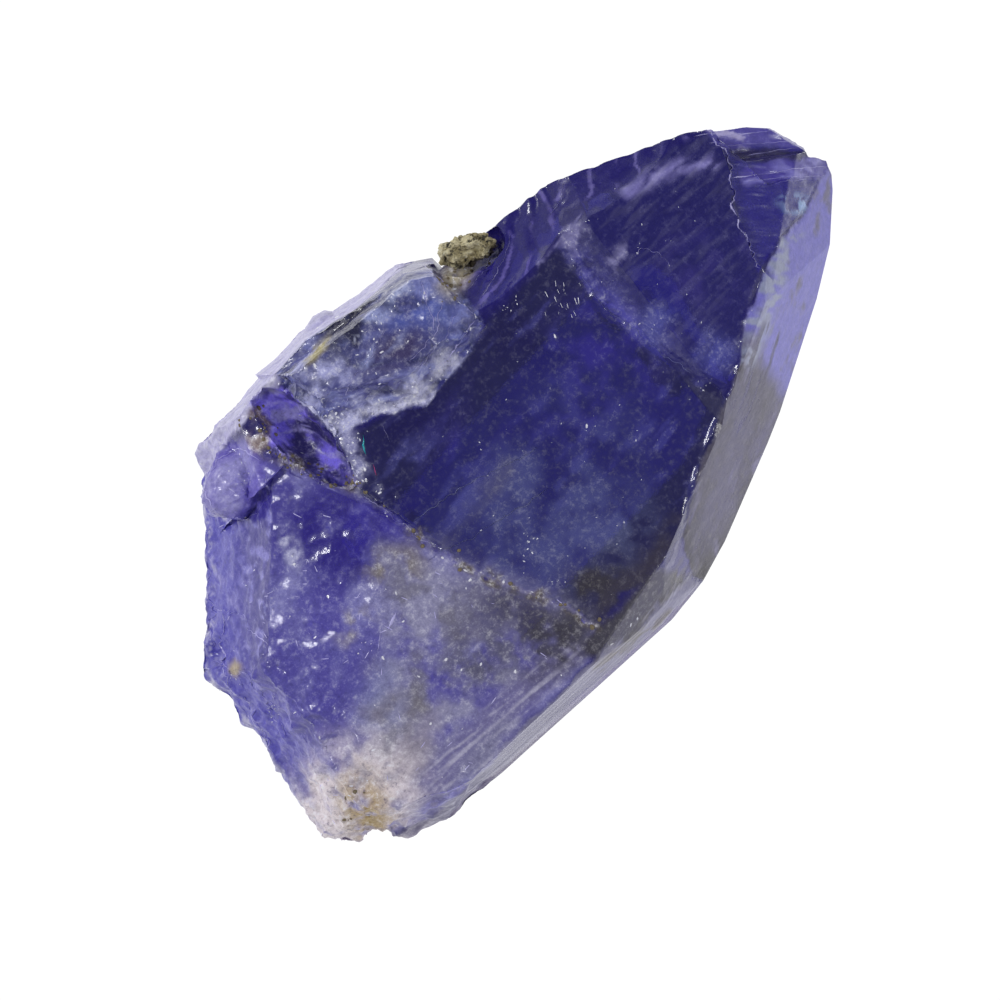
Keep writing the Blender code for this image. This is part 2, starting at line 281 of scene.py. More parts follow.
HOLLOW = [(-4.5, 8.0), (-3.4, 7.6), (-3.3, 6.0), (-3.5, 4.5), (-3.7, 3.5), (-4.0, 4.0), (-4.5, 5.0),
          (-5.2, 6.3), (-4.4, 7.0)]
FLANK = [(-7.5, 9.2), (-7.5, 7.3), (-4.6, 7.7), (-3.3, 7.7), (2.0, 8.0), (2.9, 8.0), (2.4, 9.2)]
PAST_CRACK = [(12.6, 5.6), *JAGGED_CRACK[1:], (13.5, 0.6), (15.6, 1.0), (15.6, 4.0)]

crystal = refined_copy(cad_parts["crystal"], "tanzanite_crystal", TOP_EDGE, UNDER_EDGE, UNDER_BELOW)
points, normals, corners = mesh_arrays(crystal)
stone = Places(points)

# Where each form lies on the stone: 1 on it, 0 off it.
broken_end = rise(-stone.u, 8.3, 10.6)
upper_rim = rise(-stone.u, 4.8, 6.5) * rise(stone.v, 4.2, 5.6)
milky_side = rise(-stone.u, 3.6, 5.5) * rise(stone.v, -5.8, -4.9)
foot = stone.spot((-11.3, -4.4), (2.2, 1.9), fade=0.35)
side_top = stone.inside(SIDE_CRYSTAL, 0.08) * rise(stone.z, 8.6, 9.2)
side_rim = side_top * stone.near(SIDE_RIM, 0.55, 0.5)
NEAR_SHELL = [(2.9, 8.5), (2.9, 4.95), (5.0, 5.0), (6.4, 5.3), (7.2, 5.8), (7.4, 6.6), (6.6, 8.5)]
FAR_SHELL = [(6.8, 8.5), (7.4, 6.6), (7.2, 5.8), (8.2, 5.3), (9.4, 4.9), (11.0, 4.85), (12.4, 4.5),
             (12.5, 8.0)]
near_shell = stone.inside(NEAR_SHELL, 0.15) * rise(stone.z, 6.6, 7.4)
far_shell = stone.inside(FAR_SHELL, 0.15) * rise(stone.z, 6.6, 7.4)
flank_top = stone.inside(FLANK, 0.1) * rise(stone.z, 5.0, 5.6) * (1 - side_top)
front_prism = rise(-stone.v, 5.3, 6.2) * rise(stone.z, 3.2, 4.2) * rise(3.5 - stone.u, 0.0, 1.0) * (1 - foot)
past_crack = stone.inside(PAST_CRACK, 0.08)
ledge_band = stone.near(LEDGE[1:6], 0.15, 0.8) * rise(stone.u - 6.2, -0.1, 0.3) * rise(stone.v, -0.8, 1.0)

fine = stone.noise(0.55, 4, seed=3.0)
coarse = stone.noise(1.8, 3, seed=9.0)
tiny_chips = stone.chips(0.45, 8.0)
chips = stone.chips(1.05, 4.0)
lengthwise = stone.noise(0.34, 3, seed=12.0, stretch=(16.0, 1.0, 1.0))
slanting = stone.noise(0.30, 3, seed=15.0, stretch=(14.0, 1.0, 3.0), turn=-CRYSTAL_RISE)

# How far each form lifts the surface, or sinks it where it is negative, in millimetres.
press = np.zeros(len(points))
press += broken_end * (0.17 * chips + 0.11 * tiny_chips + 0.05 * fine - 0.13)
press += upper_rim * (1 - broken_end) * (0.3 + 0.7 * rise(-stone.u, -2.0, 0.5)) * (
    0.14 * stone.chips(0.8, 5.0) + 0.05 * fine - 0.07)
press += milky_side * (1 - broken_end) * (0.06 * coarse + 0.03 * fine + 0.05 * tiny_chips - 0.03)
scallops = rise(-stone.u - 0.35 * stone.v, 8.6, 10.2) * rise(stone.z, 3.6, 4.8) * (1 - foot)
press += scallops * (0.30 * stone.chips(0.95, 14.0) - 0.16 + 0.05 * fine)
hollow_rim = stone.near([*HOLLOW, HOLLOW[0]], 0.0, 0.5) * rise(stone.z, 7.6, 8.4)
press += hollow_rim * (0.20 * fine + 0.14 * tiny_chips - 0.08)
press += foot * (0.14 * stone.chips(0.5, 2.0) + 0.08 * stone.noise(0.25, 3, seed=5.0) - 0.07)
curled = stone.noise(0.55, 4, seed=44.0, stretch=(3.0, 0.9, 1.0), turn=-38.0)
press += side_top * (0.07 * curled + 0.05 * fine - 0.05)
press += side_rim * (0.16 * stone.chips(0.42, 6.0) + 0.10 * stone.noise(0.3, 3, seed=7.0) - 0.12)
press += near_shell * (0.030 * stone.rings((2.6, 8.6), 1.0, drift=0.35 * coarse) + 0.02 * fine - 0.03)
press += far_shell * (0.022 * stone.rings((6.6, 8.6), 1.2, drift=0.45 * coarse) + 0.02 * fine - 0.03)
press += flank_top * (0.05 * lengthwise + 0.03 * fine - 0.02)
press += front_prism * 0.022 * lengthwise
press += past_crack * (0.07 * slanting - 0.02)
press -= stone.near(RIDGE, 0.02, 0.22) * (0.10 + 0.12 * fine) * rise(stone.z, 8.0, 8.4)
press -= stone.near(LEDGE, 0.02, 0.25) * (0.05 + 0.08 * fine) * rise(stone.z, 8.0, 8.4)
press += ledge_band * 0.05 * fine
press -= stone.near(FRONT_EDGE, 0.0, 0.2) * 0.08 * (0.3 + fine) * rise(stone.z, 5.0, 6.0)
press -= stone.near([(2.7, 4.9), (2.0, 4.6), (0.0, 4.3)], 0.05, 0.2) * 0.06 * side_top

points += normals * press[:, None] * MM
low, high = (np.array(corner) for corner in cad_box)
points = np.clip(points, low, high)
crystal.data.vertices.foreach_set("co", points.ravel())
crystal.data.update()
points, normals, corners = mesh_arrays(crystal)


# The crystal's colours.
# Clear violet where it is whole, hazy where veils of tiny bubbles lie under the faces, and milky
# or frosted where it is broken. Each wash is laid over the last. A wash is a colour with a
# milkiness, and the finish is how frosted, streaked and speckled the surface is, its pale specks
# partly painted sparkle.
surface = Places(points, wobble=0.13)
cloud = surface.noise(2.4, 5, seed=1.0)
mottle = surface.noise(0.9, 5, seed=2.0)
veil = surface.noise(1.3, 4, seed=6.0, stretch=(2.4, 1.0, 1.0), turn=25.0)
threads = 1 - rise(np.abs(surface.noise(0.8, 4, seed=20.0)), 0.0, 0.16)
tint = np.tile(np.array((0.030, 0.022, 0.250)), (len(points), 1))
milk = np.full(len(points), 0.45)
frost = np.full(len(points), 0.05)
streaks = np.zeros(len(points))
speckle_and_sparkle = np.full(len(points), 0.06)


def lay(mask, color=None, milkiness=None, frosting=None, streaking=None, speckling_and_sparkle=None):
    """Lays a wash: where mask is 1, the surface takes the new colour, milkiness and finish."""
    if color is not None:
        tint[:] += (np.array(color) - tint) * mask[:, None]
    for layer, value in ((milk, milkiness), (frost, frosting), (streaks, streaking), (speckle_and_sparkle, speckling_and_sparkle)):
        if value is not None:
            layer[:] += (value - layer) * mask


INDIGO = (0.023, 0.022, 0.110)
DEEP = (0.017, 0.014, 0.110)
BRIGHT = (0.045, 0.034, 0.270)
WHITE = (0.90, 0.89, 0.94)
HAZE = (0.105, 0.118, 0.275)
OLIVE = (0.150, 0.125, 0.085)
STAIN = (0.420, 0.280, 0.070)

upper = rise(surface.z, 3.6, 4.6)
lay(1 - upper, (0.10, 0.075, 0.40), 0.80, 0.8, 0.3, 0.4)

# The main face: deep indigo, brighter towards the ledge, with a blue-grey haze and faint veils.
MAIN_FACE = [*RIDGE, (3.0, -4.85), (7.2, -2.4), *LEDGE[::-1], (2.7, 4.65), (0.0, 4.2), (-3.4, 5.0)]
main_face = surface.inside(MAIN_FACE, 0.15)
fibres = surface.noise(0.35, 4, seed=61.0, stretch=(9.0, 1.0, 1.0), turn=4.0)
lay(main_face, INDIGO, 0.72, speckling_and_sparkle=0.07)
lay(main_face * rise(cloud, -0.2, 0.7), DEEP, 0.68)
lay(main_face * rise(fibres, 0.05, 0.6) * rise(mottle, -0.3, 0.6),
    (0.062, 0.060, 0.270), 0.74, speckling_and_sparkle=0.16)
lay(surface.spot((-1.9, 1.9), (1.6, 1.4), -20, fade=0.8) * rise(fibres + veil, -0.5, 0.5) * main_face,
    (0.105, 0.108, 0.400), 0.76)
lay(surface.spot((4.9, 1.2), (2.4, 1.7), 20, fade=0.8) * rise(mottle, -0.5, 0.6) * main_face,
    BRIGHT, 0.68)
lay(surface.spot((-0.3, 2.6), (2.2, 1.2), 10, fade=0.8) * rise(veil, -0.5, 0.6) * main_face, BRIGHT, 0.66)
lay(surface.spot((0.2, -1.0), (3.4, 2.2), 20, fade=0.8) * rise(cloud + 0.5 * mottle, -0.6, 0.6)
    * main_face,
    HAZE, 0.70, speckling_and_sparkle=0.2)
lay(surface.spot((1.0, -3.0), (1.6, 1.3), 0, fade=0.8) * rise(mottle, -0.6, 0.4) * main_face, HAZE, 0.7)
lay(surface.near([(-3.2, 0.3), (-1.5, 0.55), (0.4, 0.75)], 0.02, 0.5) * rise(veil, -0.4, 0.4),
    (0.12, 0.12, 0.20), 0.75)
lay(surface.spot((-0.2, -4.4), (1.3, 1.2), -50, fade=0.6) * rise(mottle, -0.7, 0.4),
    (0.050, 0.044, 0.060), 0.75, 0.2)
lay(surface.near([(-1.0, -5.0), (1.2, -4.9), (3.0, -4.6)], 0.1, 0.8) * rise(mottle, -0.8, 0.5),
    (0.060, 0.052, 0.090), 0.7)

# Beyond the ledge the stone is clearer, with faint growth lines.
beyond = surface.inside([*LEDGE[::-1], (6.9, 5.1), (8.0, 5.1), (12.4, 5.2), *JAGGED_CRACK[1:]], 0.1)
lay(beyond, (0.021, 0.017, 0.185), 0.68, 0.06, 0.10, 0.05)
lay(beyond * surface.spot((9.6, 1.0), (2.0, 1.2), -30, fade=0.8) * rise(mottle, -0.4, 0.6), BRIGHT, 0.68)
lay(surface.near(LEDGE[1:7], 0.1, 1.1) * rise(surface.u - 6.0, 0.0, 0.3) * rise(surface.v, -0.8, 1.8)
    * rise(mottle, -0.9, 0.5),
    (0.14, 0.13, 0.56), 0.74, 0.4, 0, 0.45)
lay(surface.near([(6.9, 4.8), (6.5, 4.3), (7.0, 3.4), (8.0, 3.2)], 0.1, 0.5) * rise(mottle, -0.1, 0.5),
    (0.30, 0.28, 0.60), 0.75, 0.4, 0, 0.5)
lay(surface.near([(7.0, 0.9), (7.6, -0.6), (7.9, -1.5)], 0.2, 0.8) * rise(veil, -0.4, 0.5),
    (0.095, 0.100, 0.46), 0.72, speckling_and_sparkle=0.3)
lens = surface.near([(9.2, 4.75), (10.4, 4.45), (11.4, 4.02), (11.9, 3.6)], 0.0, 0.46)
lay(lens * rise(fibres + 0.5 * veil, -0.5, 0.5), (0.30, 0.27, 0.70), 0.78, 0.2, 0.3, 0.15)

# The conchoidal hollows behind the main face: dark, with pale arcs.
near_hollow = surface.inside(NEAR_SHELL, 0.12)
far_hollow = surface.inside(FAR_SHELL, 0.12)
lay(np.maximum(near_hollow, far_hollow), (0.018, 0.012, 0.190), 0.74, 0.10, 0.0, 0.02)
near_arcs = surface.rings((2.6, 8.6), 1.0, drift=0.35 * cloud)
far_arcs = surface.rings((6.6, 8.6), 1.2, drift=0.45 * cloud)
lay(near_hollow * rise(near_arcs, 0.80, 0.98) * rise(mottle, -0.4, 0.3), (0.16, 0.13, 0.50), 0.7)
lay(far_hollow * rise(far_arcs, 0.78, 0.98) * rise(mottle, -0.4, 0.3), (0.20, 0.17, 0.55), 0.7)
lay(surface.near(MAIN_TOP_EDGE, 0.0, 0.10) * rise(mottle, 0.0, 0.5), (0.26, 0.24, 0.56), 0.7, 0.4)

# Past the jagged crack: striated terraces, pale and dark by turns, and a bluish glint.
slant = surface.noise(0.30, 3, seed=15.0, stretch=(14.0, 1.0, 3.0), turn=-CRYSTAL_RISE)
beyond_crack = surface.inside(PAST_CRACK, 0.05)
lay(beyond_crack, (0.028, 0.020, 0.300), 0.70, 0.1, 0.0, 0.02)
HIGH_STRIP = [(12.2, 5.6), (12.45, 3.9), (13.6, 3.2), (15.0, 1.9), (15.3, 2.6), (13.6, 5.0)]
high_strip = surface.inside(HIGH_STRIP, 0.12)
low_strip = surface.near([(12.6, 2.5), (14.0, 1.75), (15.3, 0.95)], 0.22, 0.2)
lay(high_strip, (0.110, 0.090, 0.46), 0.80, 0.2, 0.0, 0.1)
lay(high_strip * rise(slant, 0.15, 0.35), (0.44, 0.40, 0.72), 0.85, 0.2)
lay(surface.near([(12.8, 3.34), (13.7, 2.55), (14.57, 1.75)], 0.18, 0.15), (0.030, 0.022, 0.160), 0.6)
lay(low_strip, (0.07, 0.05, 0.40), 0.80, 0.2)
lay(low_strip * rise(slant, -0.1, 0.3), (0.22, 0.20, 0.62), 0.85, 0.2)
lay(surface.spot((13.3, 0.85), (0.55, 0.3), -30, fade=0.6) * rise(slant, -0.1, 0.2),
    (0.35, 0.50, 0.85), 0.85)

# The steep front terminations: pale lavender-grey, smoother and more violet towards the tip.
FRONT_FACES = [*FRONT_EDGE, (2.8, -5.3), (2.5, -6.0), (2.8, -6.9), (9.0, -5.5), (15.8, -0.8)]
front = surface.inside(FRONT_FACES, 0.06) * rise(surface.z, 2.6, 3.2)
lay(front, (0.110, 0.100, 0.160), 0.82, 0.45, 0.1, 0.03)
lay(front * rise(surface.u, 8.6, 9.4), (0.205, 0.190, 0.660), 0.82, 0.4, 0.1, 0.03)
lay(front * rise(-surface.u, -8.8, -8.0) * rise(cloud + mottle, -0.6, 0.6),
    (0.070, 0.062, 0.090), 0.88, 0.45, 0.1, 0.08)
lay(front * rise(4.4 - surface.u, 0.0, 1.6), (0.050, 0.045, 0.055), 0.90, 0.5, 0.15, 0.1)
lay(front * rise(mottle + veil, 0.3, 1.0), (0.17, 0.155, 0.29), 0.85, 0.45)
lay(front * surface.near([(8.6, -1.7), (9.6, -1.2), (11.6, -0.2), (12.4, 0.1)], 0.25, 0.5)
    * rise(slant + 0.5 * veil, -0.3, 0.4),
    (0.34, 0.37, 0.56), 0.8, 0.35)
lay(front * surface.near([(7.0, -3.3), (8.2, -2.6), (9.6, -1.9)], 0.2, 0.5)
    * rise(surface.noise(0.3, 3, seed=41.0, stretch=(7, 1, 1), turn=30), 0.05, 0.3),
    (0.06, 0.05, 0.12), 0.6)
lay(front * surface.near([(2.6, -5.9), (3.6, -5.3), (5.0, -4.6)], 0.25, 0.4) * rise(mottle, -0.1, 0.4),
    (0.09, 0.08, 0.08), 0.7)
lay(surface.inside([(2.95, -4.95), (2.45, -6.1), (1.1, -5.8)], 0.1), (0.05, 0.035, 0.18), 0.5)

# The prism face along the front: pale lavender with growth lines and a few olive streaks.
PRISM_FACE = [*PRISM_EDGE, (-10.2, -7.4), (2.7, -7.4), (2.45, -6.05), (1.2, -5.75)]
prism = surface.inside(PRISM_FACE, 0.05) * rise(surface.z, 2.6, 3.2)
lay(prism, (0.20, 0.19, 0.32), 0.86, 0.45, 0.55)
lay(prism * surface.near([(-1.8, -6.2), (-0.6, -6.35), (1.0, -6.6)], 0.08, 0.3) * rise(mottle, -0.4, 0.3),
    (0.10, 0.08, 0.07), 0.8)
lay(prism * surface.near([(-9.0, -6.8), (2.5, -6.75)], 0.03, 0.12), (0.16, 0.12, 0.30), 0.6)
lay(surface.near([(-0.6, -6.1), (0.9, -5.85), (2.4, -5.75)], 0.15, 0.35) * rise(mottle, -0.6, 0.2),
    (0.085, 0.078, 0.080), 0.88)

# The broken side: saturated violet with white veins above, grey and milky below.
BROKEN_SIDE = [*RIDGE, (-2.0, -5.8), (-9.6, -6.3), (-13.5, -5.0), (-13.5, 3.0), (-9.0, 7.5),
               (-5.4, 6.4), (-4.5, 5.0)]
side = surface.inside(BROKEN_SIDE, 0.12)
lay(side, (0.125, 0.105, 0.500), 0.72, 0.22, 0.0, 0.24)
lay(side * rise(veil, -0.2, 0.6), (0.30, 0.29, 0.68), 0.76, 0.3, 0.0, 0.4)
lay(side * surface.spot((-5.1, 2.6), (2.2, 1.7), -50, fade=0.5) * rise(mottle, -1.2, 0.1),
    (0.036, 0.022, 0.300), 0.70, 0.1, 0, 0.05)
lay(side * surface.spot((-8.3, 0.6), (2.0, 3.2), 20, fade=0.8) * rise(mottle, -0.1, 0.6),
    (0.150, 0.135, 0.520), 0.74, 0.2, 0, 0.3)
MILKY_PATCH = [(-4.6, 1.4), (-3.3, 0.4), (-1.3, -4.6), (-2.4, -5.3), (-9.6, -6.0), (-11.0, -3.6),
               (-7.6, -1.6)]
milky_below = surface.inside(MILKY_PATCH, 0.8)
lay(milky_below * rise(mottle + cloud, -1.1, 0.2), (0.34, 0.33, 0.54), 0.82, 0.35, 0.1, 0.4)
lay(milky_below * rise(cloud - mottle, -0.1, 0.6), (0.25, 0.24, 0.35), 0.80, 0.35, 0, 0.3)
lay(milky_below * surface.spot((-9.2, -1.2), (1.8, 1.6), 20, fade=0.8) * rise(mottle, -0.6, 0.4),
    (0.26, 0.30, 0.60), 0.8, 0.35, 0, 0.2)
lay(milky_below * surface.spot((-8.6, -3.8), (1.6, 1.1), 20, fade=0.8) * rise(veil, -0.7, 0.3),
    (0.36, 0.32, 0.44), 0.8, 0.35, 0, 0.15)
lay(side * surface.spot((-2.6, -3.4), (1.0, 2.0), 20, fade=0.8) * rise(mottle, -0.8, 0.3),
    (0.070, 0.064, 0.085), 0.84, 0.3, 0, 0.2)
lay(side * surface.spot((-5.6, -2.6), (1.5, 1.2), 0, fade=0.8) * rise(cloud, -0.4, 0.4),
    (0.15, 0.14, 0.20), 0.80, 0.3, 0, 0.2)
lay(side * surface.near([(-9.5, -5.4), (-4.5, -5.1), (-2.2, -5.2)], 0.15, 0.7),
    (0.22, 0.20, 0.44), 0.78, 0.3, 0.9, 0.25)
lay(side * surface.spot((-2.3, -4.7), (1.4, 0.9), 0, fade=0.6) * rise(mottle, -0.9, 0.2),
    (0.060, 0.055, 0.080), 0.85, 0.3, 0, 0.2)
lay(side * surface.spot((-4.5, -3.2), (1.2, 1.0), 0, fade=0.8) * rise(mottle, -0.8, 0.4),
    (0.115, 0.110, 0.190), 0.82, 0.3, 0, 0.3)
lay(side * surface.spot((-6.1, -5.9), (1.6, 0.6), 0, fade=0.6) * rise(veil, -0.7, 0.3),
    (0.26, 0.25, 0.44), 0.82, 0.3, 0.5, 0.3)
lay(surface.near([(-1.5, -5.55), (0.0, -5.6), (1.5, -5.4)], 0.22, 0.35) * upper,
    (0.060, 0.055, 0.080), 0.85, 0.3, 0, 0.2)
lay(surface.spot((-4.7, 0.7), (1.0, 0.7), -20, fade=0.7) * rise(mottle, -0.1, 0.4),
    (0.24, 0.21, 0.19), 0.85, 0.5, 0, 0.4)
lay(surface.spot((-6.9, 0.2), (0.7, 0.5), 0, fade=0.7) * rise(mottle, -0.1, 0.4),
    (0.30, 0.27, 0.32), 0.85, 0.5, 0, 0.4)
lay(surface.spot((-6.6, -3.6), (1.3, 0.7), 10, fade=0.7) * rise(cloud, -0.2, 0.4),
    (0.26, 0.24, 0.26), 0.8, 0.4)
lay(surface.spot((-6.7, 3.5), (0.75, 0.28), 60, fade=0.6) * rise(fibres + mottle, -0.6, 0.5),
    (0.50, 0.50, 0.78), 0.85, 0.4, 0, 0.5)
lay(surface.near(RIDGE, 0.0, 0.12) * rise(mottle, -0.4, 0.4), (0.30, 0.28, 0.42), 0.85, 0.5, 0, 0.5)
lay(surface.near(RIDGE[2:], 0.05, 0.35) * rise(mottle, 0.1, 0.5), OLIVE, 0.85, 0.5, 0, 0.8)

# The foot: frosted, pale and granular, with a yellow stain.
foot_frost = surface.spot((-11.3, -4.2), (2.6, 2.3), fade=0.4)
lay(foot_frost * rise(mottle, -1.0, 0.3), (0.84, 0.75, 0.80), 0.92, 0.6, 0, 0.9)
lay(surface.spot((-10.9, -4.7), (1.3, 0.7), 60, fade=0.9) * rise(mottle, -0.7, 0.3),
    STAIN, 0.92, 0.6, 0, 0.6)

# The wall of the broken side and its scalloped rim: violet, with pale threads along the rim.
# Its steep faces are painted darker, as painted shade against the tent's bright walls.
off_foot = 1 - foot_frost
# Painted shade: the steeper a face of the broken side, the darker its violet.
wall = side * rise(0.80 - normals[:, 2], 0.0, 0.15) * off_foot
lay(wall, (0.060, 0.044, 0.340), 0.76, 0.25, 0.0, 0.12)
lay(wall * rise(surface.noise(0.5, 4, seed=83.0, stretch=(3, 1, 1), turn=-40), 0.1, 0.5),
    (0.26, 0.24, 0.70), 0.8, 0.3, 0.0, 0.25)
RIM_LINE = [(-12.7, -3.0), (-12.3, -1.2), (-12.1, 0.3), (-12.2, 1.5), (-12.0, 2.5), (-11.2, 3.5),
            (-10.2, 4.6), (-9.0, 6.1), (-8.0, 6.8)]
rim_band = surface.near(RIM_LINE, 0.7, 1.7) * off_foot
lay(rim_band, (0.110, 0.095, 0.560), 0.80, 0.30, 0.0, 0.15)
lay(rim_band * rise(surface.chips(0.6, 9.0) + 0.4 * mottle, 0.45, 0.8),
    (0.24, 0.22, 0.66), 0.8, 0.35, 0.0, 0.3)
lay(surface.near(RIM_LINE, 0.0, 0.9) * rise(threads, 0.5, 0.95) * rise(mottle, -0.3, 0.2),
    (0.62, 0.60, 0.84), 0.85, 0.5, 0, 0.3)
lay(surface.near(RIM_LINE, 0.0, 0.22) * rise(mottle, -0.4, 0.2), (0.60, 0.58, 0.80), 0.85, 0.5, 0, 0.3)
lay(surface.near([(-7.6, 7.2), (-7.85, 5.8)], 0.04, 0.15), WHITE, 0.9, 0.5)

# The rounded lobe at the back corner, clearer than the wall, and a brown fleck on the wall.
lobe = surface.spot((-6.65, 6.5), (1.3, 1.0), 20, fade=0.3)
lay(lobe, (0.17, 0.13, 0.66), 0.72, 0.15, 0, 0.15)
lay(lobe * rise(veil, 0.0, 0.5), (0.30, 0.27, 0.62), 0.74, 0.25, 0, 0.3)
lay(surface.spot((-11.0, 1.8), (0.3, 0.25), 0, fade=0.6), (0.45, 0.36, 0.26), 0.85, 0.5)

# The striated prism along the back, with pinkish-brown dirt where it meets the broken side.
DIRTY_CORNER = [(-5.4, 7.7), (-5.5, 6.6), (-4.5, 6.4), (-4.3, 7.7)]
back_prism = surface.inside(FLANK, 0.08) * rise(surface.z, 4.8, 5.4)
lay(back_prism, (0.52, 0.49, 0.80), 0.84, 0.35, 0.9, 0.3)
lay(surface.inside(DIRTY_CORNER, 0.15) * rise(surface.z, 4.8, 5.6) * rise(mottle, -0.5, 0.2),
    (0.30, 0.22, 0.21), 0.85, 0.6, 0, 0.9)

# The top of the lobe, paler where a veil lies under it.
lobe_top = surface.spot((-6.6, 6.4), (1.15, 0.85), 20, fade=0.3)
lay(lobe_top, (0.20, 0.16, 0.66), 0.78, 0.2, 0, 0.2)
lay(lobe_top * rise(veil, 0.1, 0.6), (0.40, 0.37, 0.80), 0.8, 0.2, 0, 0.3)

# The deep hollow between the broken side and the smaller crystal, with dirt on its lip.
HOLLOW_LIP = [(-5.2, 6.3), (-4.5, 5.0), (-4.0, 4.0), (-3.7, 3.5)]
in_hollow = surface.inside(HOLLOW, 0.12) * rise(surface.z, 5.6, 6.6)
lay(in_hollow, (0.26, 0.20, 0.95), 0.95, 0.3, 0, 0.3)
lay(in_hollow * rise(-mottle - veil, 0.0, 0.6), (0.05, 0.04, 0.20), 0.85)
lay(in_hollow * rise(slant, 0.1, 0.5), (0.44, 0.40, 0.85), 0.95, 0.4, 0, 0.5)
lay(surface.near(HOLLOW_LIP, 0.1, 0.3) * rise(surface.z, 5.6, 6.6) * rise(mottle, -0.3, 0.3),
    (0.16, 0.13, 0.12), 0.85, 0.6, 0, 0.9)
lay(surface.near([(-2.8, 5.5), (-3.1, 4.4), (-3.55, 3.1)], 0.10, 0.45) * rise(surface.z, 5.6, 6.6)
    * rise(mottle, -0.4, 0.3),
    (0.34, 0.34, 0.62), 0.85, 0.4, 0, 0.9)

# The smaller crystal: steel blue and frosted, fibrous, with a bright broken rim.
on_side = surface.inside(SIDE_CRYSTAL, 0.06) * rise(surface.z, 8.4, 9.0)
curls = surface.noise(0.55, 4, seed=44.0, stretch=(3.0, 0.9, 1.0), turn=-38.0)
lay(on_side, (0.105, 0.110, 0.360), 0.74, 0.16, 0, 0.25)
shards = surface.chips(0.42, 21.0)
lay(on_side * rise(curls, 0.05, 0.5), (0.27, 0.30, 0.72), 0.78, 0.2, 0, 0.35)
lay(on_side * rise(shards + 0.5 * mottle, 0.45, 0.75), (0.36, 0.38, 0.78), 0.8, 0.3, 0, 0.4)
lay(on_side * rise(-curls, 0.1, 0.5), (0.045, 0.048, 0.170), 0.7, 0.10)
lay(on_side * surface.spot((-0.8, 7.2), (1.7, 0.6), 8, fade=0.6) * rise(mottle, -0.6, 0.3),
    (0.032, 0.034, 0.10), 0.68, 0.1)
lay(on_side * rise(threads, 0.8, 1.0) * rise(mottle, 0.0, 0.4), (0.50, 0.52, 0.74), 0.8, 0.3)
lay(on_side * surface.spot((1.6, 6.3), (1.1, 1.2), 0, fade=0.6) * rise(mottle, -0.6, 0.4),
    (0.12, 0.16, 0.60), 0.74, 0.2)
lay(on_side * surface.near(SIDE_RIM, 0.25, 0.7) * rise(mottle, -0.6, 0.3),
    (0.66, 0.66, 0.90), 0.88, 0.6, 0, 1.0)
lay(on_side * surface.spot((-2.2, 6.4), (0.9, 1.3), -20, fade=0.7) * rise(mottle, -0.4, 0.4),
    (0.46, 0.47, 0.86), 0.84, 0.4, 0, 0.6)
lay(on_side * surface.spot((1.5, 7.5), (1.0, 0.55), 0, fade=0.7) * rise(mottle, -0.9, 0.2),
    (0.095, 0.100, 0.230), 0.76, 0.15)
lay(on_side * surface.spot((0.2, 5.8), (1.3, 0.6), -15, fade=0.7) * rise(curls + 0.5 * mottle, -0.8, 0.2),
    (0.075, 0.062, 0.190), 0.76, 0.15)
lay(on_side * surface.spot((-0.2, 7.7), (1.2, 0.5), 10, fade=0.7) * rise(mottle, -0.9, 0.1),
    (0.028, 0.027, 0.070), 0.74, 0.15)
lay(on_side * surface.spot((1.25, 7.1), (0.45, 0.3), 10, fade=0.8) * rise(mottle + curls, -0.8, 0.2),
    (0.50, 0.55, 0.88), 0.85, 0.3, 0, 0.8)
lay(on_side * surface.near([(0.2, 7.3), (0.9, 6.6), (0.4, 6.2), (-0.8, 6.3)], 0.05, 0.35)
    * rise(fibres + veil, -0.4, 0.3),
    (0.34, 0.38, 0.74), 0.8, 0.3, 0, 0.5)
lay(on_side * surface.spot((-1.75, 7.6), (0.5, 0.2), 15, fade=0.6), (0.42, 0.36, 0.12), 0.85, 0.5)
lay(surface.spot((3.4, 6.65), (1.0, 0.5), 25, fade=0.6) * rise(surface.z, 5.0, 5.8)
    * rise(mottle, -0.7, 0.2),
    (0.46, 0.40, 0.26), 0.94, 0.7, 0, 0.9)

# The underside: frosted and milky violet all over.
below = 1 - rise(surface.z, 2.4, 3.1)
lay(below, (0.13, 0.105, 0.43), 0.82, 0.8, 0.2, 0.3)
lay(below * rise(cloud + mottle, 0.0, 0.7), (0.24, 0.22, 0.58), 0.84, 0.8, 0.2, 0.3)

crystal.data.materials.clear()
washes = crystal.data.attributes.new("wash", "FLOAT_COLOR", "POINT")
washes.data.foreach_set("color", np.column_stack([np.clip(tint, 0, 1), milk]).ravel())
finishes = crystal.data.attributes.new("finish", "FLOAT_COLOR", "POINT")
finishes.data.foreach_set("color", np.column_stack([frost, streaks, speckle_and_sparkle, np.ones(len(points))]).ravel())


# The crystal's substance.
# Clear violet zoisite, which takes up red and green light, under a skin that the washes colour
# and cloud. Fine grain and drawn-out lines roughen it, and the grain flecks it with dark specks
# and with pale specks that are partly painted sparkle.
TANZANITE_IOR = 1.69
GRAIN_SCALE = 4200.0
LINE_SCALE = 4000.0
BUMP_DEPTH = 0.00005
ABSORPTION = 900.0
SHARP_ANGLE = 18


class Socket:
    """An output of a shader node. Arithmetic on it adds Math nodes."""

    def __init__(self, tree, socket):
        self.tree = tree
        self.socket = socket

    def math(self, operation, *values):
        return self.tree.node("ShaderNodeMath", {"operation": operation}, dict(enumerate(values)))

    def __add__(self, other):
        return self.math("ADD", self, other)

    def __radd__(self, other):
        return self.math("ADD", other, self)

    def __sub__(self, other):
        return self.math("SUBTRACT", self, other)

    def __rsub__(self, other):
        return self.math("SUBTRACT", other, self)

    def __mul__(self, other):
        return self.math("MULTIPLY", self, other)

    def __rmul__(self, other):
        return self.math("MULTIPLY", other, self)

    def between(self, low, high):
        """0 below low, 1 above high, and a smooth rise between them."""
        settings = {"interpolation_type": "SMOOTHSTEP"}
        values = {"Value": self, "From Min": low, "From Max": high}
        return self.tree.node("ShaderNodeMapRange", settings, values)


